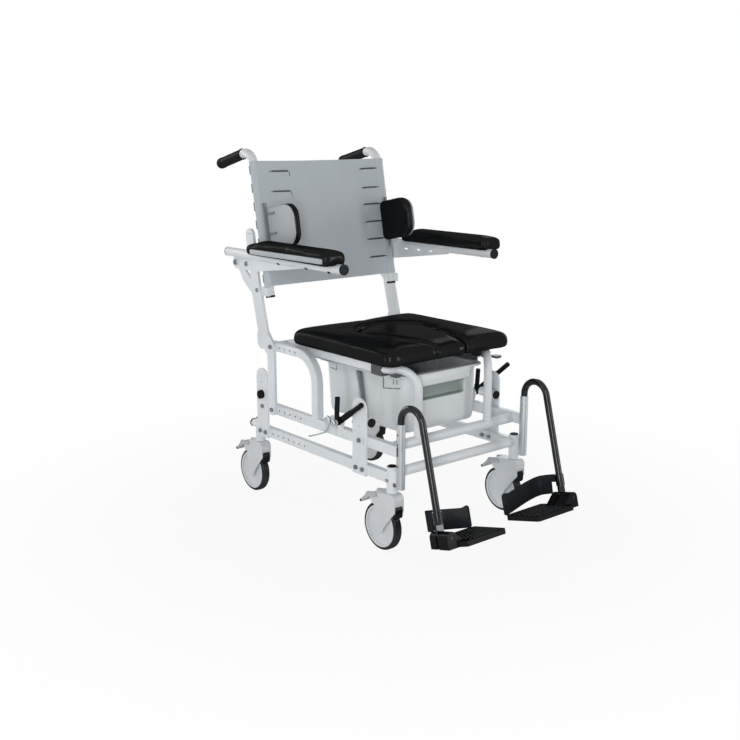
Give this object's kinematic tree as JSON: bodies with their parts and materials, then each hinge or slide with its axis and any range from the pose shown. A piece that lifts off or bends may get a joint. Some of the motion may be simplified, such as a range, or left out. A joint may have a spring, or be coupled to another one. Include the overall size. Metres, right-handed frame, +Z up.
{
  "type": "commode chair",
  "caption": "Wheeled commode and shower chair with a padded seat, removable insert, pan, tilting armrests, swing-away legrests and lockable castors.",
  "frame": {"origin": "on the floor under the middle of the chair's bounding box", "axes": "+Z up, the chair faces -Y, its right side is -X"},
  "size_m": [0.6218, 1.0002, 0.9872],
  "materials": {
    "frame_paint": "satin light grey-white powder coat",
    "cover_cloth": "matt coated weave",
    "strap_web": "matt webbing",
    "grip_rubber": "satin",
    "black_plastic": "satin black",
    "bolt_steel": "dark zinc",
    "socket_steel": "plain steel",
    "leg_steel": "polished stainless",
    "bracket_paint": "satin dark grey",
    "shell_plastic": "grey",
    "pad_skin": "satin moulded skin",
    "pan_plastic": "pale grey",
    "castor_plastic": "light grey",
    "castor_tyre": "dark grey rubber",
    "pedal_plastic": "grey"
  },
  "bodies": {
    "chassis": {"lower_rails": "frame_paint", "upper_rails": "frame_paint", "cross_tubes": "frame_paint", "castor_sleeves": "frame_paint", "rear_height_plates": "frame_paint", "front_height_plates": "frame_paint", "side_frames": "frame_paint", "seat_rails": "frame_paint", "front_seat_supports": "frame_paint", "uprights": "frame_paint", "back_tubes": "frame_paint", "back_cover": "cover_cloth", "back_straps": "strap_web", "push_grips": "grip_rubber", "tube_caps": "black_plastic", "frame_bolts": "bolt_steel", "plate_knobs": "black_plastic", "legrest_sockets": "socket_steel", "pan_runners": "socket_steel", "lever_brackets": "frame_paint", "lateral_brackets": "bracket_paint", "lateral_shells": "shell_plastic", "lateral_pads": "pad_skin"},
    "front_right_castor": {"front_right_fork": "castor_plastic"},
    "front_right_wheel": {"front_right_hub": "castor_plastic", "front_right_tyre": "castor_tyre"},
    "front_right_brake": {"front_right_pedal": "pedal_plastic"},
    "front_left_castor": {"front_left_fork": "castor_plastic"},
    "front_left_wheel": {"front_left_hub": "castor_plastic", "front_left_tyre": "castor_tyre"},
    "front_left_brake": {"front_left_pedal": "pedal_plastic"},
    "rear_right_castor": {"rear_right_fork": "castor_plastic"},
    "rear_right_wheel": {"rear_right_hub": "castor_plastic", "rear_right_tyre": "castor_tyre"},
    "rear_right_brake": {"rear_right_pedal": "pedal_plastic"},
    "rear_left_castor": {"rear_left_fork": "castor_plastic"},
    "rear_left_wheel": {"rear_left_hub": "castor_plastic", "rear_left_tyre": "castor_tyre"},
    "rear_left_brake": {"rear_left_pedal": "pedal_plastic"},
    "right_arm": {"right_arm_frame": "frame_paint", "right_arm_pad": "pad_skin", "right_arm_cap": "black_plastic"},
    "right_legrest": {"right_leg": "leg_steel", "right_heel_band": "black_plastic"},
    "right_foot": {"right_footplate": "black_plastic"},
    "right_clamp": {"right_clamp_lever": "black_plastic"},
    "right_release": {"right_release_lever": "black_plastic"},
    "left_arm": {"left_arm_frame": "frame_paint", "left_arm_pad": "pad_skin", "left_arm_cap": "black_plastic"},
    "left_legrest": {"left_leg": "leg_steel", "left_heel_band": "black_plastic"},
    "left_foot": {"left_footplate": "black_plastic"},
    "left_clamp": {"left_clamp_lever": "black_plastic"},
    "left_release": {"left_release_lever": "black_plastic"},
    "seat_cushion": {"seat": "pad_skin"},
    "seat_plug": {"seat_insert": "pad_skin"},
    "commode_pan": {"pan": "pan_plastic"}
  },
  "joints": [
    {"name": "front_right_swivel", "type": "hinge", "parent": "chassis", "child": "front_right_castor", "pos_m": [-0.22, -0.2605, 0.19], "axis": [0, 0, 1], "continuous": true},
    {"name": "front_right_roll", "type": "hinge", "parent": "front_right_castor", "child": "front_right_wheel", "pos_m": [-0.22, -0.2255, 0.0625], "axis": [1, 0, 0], "continuous": true},
    {"name": "front_right_brake_press", "type": "hinge", "parent": "front_right_castor", "child": "front_right_brake", "pos_m": [-0.22, -0.2145, 0.1454], "axis": [-1, 0, 0], "range_deg": [0, 12]},
    {"name": "front_left_swivel", "type": "hinge", "parent": "chassis", "child": "front_left_castor", "pos_m": [0.22, -0.2605, 0.19], "axis": [0, 0, 1], "continuous": true},
    {"name": "front_left_roll", "type": "hinge", "parent": "front_left_castor", "child": "front_left_wheel", "pos_m": [0.22, -0.2255, 0.0625], "axis": [1, 0, 0], "continuous": true},
    {"name": "front_left_brake_press", "type": "hinge", "parent": "front_left_castor", "child": "front_left_brake", "pos_m": [0.22, -0.2145, 0.1454], "axis": [-1, 0, 0], "range_deg": [0, 12]},
    {"name": "rear_right_swivel", "type": "hinge", "parent": "chassis", "child": "rear_right_castor", "pos_m": [-0.22, 0.3225, 0.19], "axis": [0, 0, 1], "continuous": true},
    {"name": "rear_right_roll", "type": "hinge", "parent": "rear_right_castor", "child": "rear_right_wheel", "pos_m": [-0.22, 0.3575, 0.0625], "axis": [1, 0, 0], "continuous": true},
    {"name": "rear_right_brake_press", "type": "hinge", "parent": "rear_right_castor", "child": "rear_right_brake", "pos_m": [-0.22, 0.3685, 0.1454], "axis": [-1, 0, 0], "range_deg": [0, 12]},
    {"name": "rear_left_swivel", "type": "hinge", "parent": "chassis", "child": "rear_left_castor", "pos_m": [0.22, 0.3225, 0.19], "axis": [0, 0, 1], "continuous": true},
    {"name": "rear_left_roll", "type": "hinge", "parent": "rear_left_castor", "child": "rear_left_wheel", "pos_m": [0.22, 0.3575, 0.0625], "axis": [1, 0, 0], "continuous": true},
    {"name": "rear_left_brake_press", "type": "hinge", "parent": "rear_left_castor", "child": "rear_left_brake", "pos_m": [0.22, 0.3685, 0.1454], "axis": [-1, 0, 0], "range_deg": [0, 12]},
    {"name": "right_arm_lift", "type": "hinge", "parent": "chassis", "child": "right_arm", "pos_m": [-0.248, 0.3775, 0.675], "axis": [-1, 0, 0], "range_deg": [0, 95]},
    {"name": "right_legrest_swing", "type": "hinge", "parent": "chassis", "child": "right_legrest", "pos_m": [-0.22, -0.2925, 0.26], "axis": [0, 0, -1], "range_deg": [0, 90]},
    {"name": "right_footplate_flip", "type": "hinge", "parent": "right_legrest", "child": "right_foot", "pos_m": [-0.22, -0.4378, 0.09461], "axis": [0, -0.9677, 0.2521], "range_deg": [0, 80]},
    {"name": "right_clamp_turn", "type": "hinge", "parent": "chassis", "child": "right_clamp", "pos_m": [-0.248, -0.0805, 0.306], "axis": [1, 0, 0], "range_deg": [0, 30]},
    {"name": "right_release_turn", "type": "hinge", "parent": "chassis", "child": "right_release", "pos_m": [-0.2526, -0.0805, 0.306], "axis": [-1, 0, 0], "range_deg": [0, 35]},
    {"name": "left_arm_lift", "type": "hinge", "parent": "chassis", "child": "left_arm", "pos_m": [0.248, 0.3775, 0.675], "axis": [-1, 0, 0], "range_deg": [0, 95]},
    {"name": "left_legrest_swing", "type": "hinge", "parent": "chassis", "child": "left_legrest", "pos_m": [0.22, -0.2925, 0.26], "axis": [0, 0, 1], "range_deg": [0, 90]},
    {"name": "left_footplate_flip", "type": "hinge", "parent": "left_legrest", "child": "left_foot", "pos_m": [0.22, -0.4378, 0.09461], "axis": [0, 0.9677, -0.2521], "range_deg": [0, 80]},
    {"name": "left_clamp_turn", "type": "hinge", "parent": "chassis", "child": "left_clamp", "pos_m": [0.248, -0.0805, 0.306], "axis": [1, 0, 0], "range_deg": [0, 30]},
    {"name": "left_release_turn", "type": "hinge", "parent": "chassis", "child": "left_release", "pos_m": [0.2526, -0.0805, 0.306], "axis": [-1, 0, 0], "range_deg": [0, 35]},
    {"name": "seat_lift_off", "type": "slide", "parent": "chassis", "child": "seat_cushion", "axis": [0, 0, 1], "range_m": [0, 0.06]},
    {"name": "insert_lift_out", "type": "slide", "parent": "seat_cushion", "child": "seat_plug", "axis": [0, 0, 1], "range_m": [0, 0.06]},
    {"name": "pan_slide", "type": "slide", "parent": "chassis", "child": "commode_pan", "axis": [0, 1, 0], "range_m": [0, 0.3]}
  ]
}
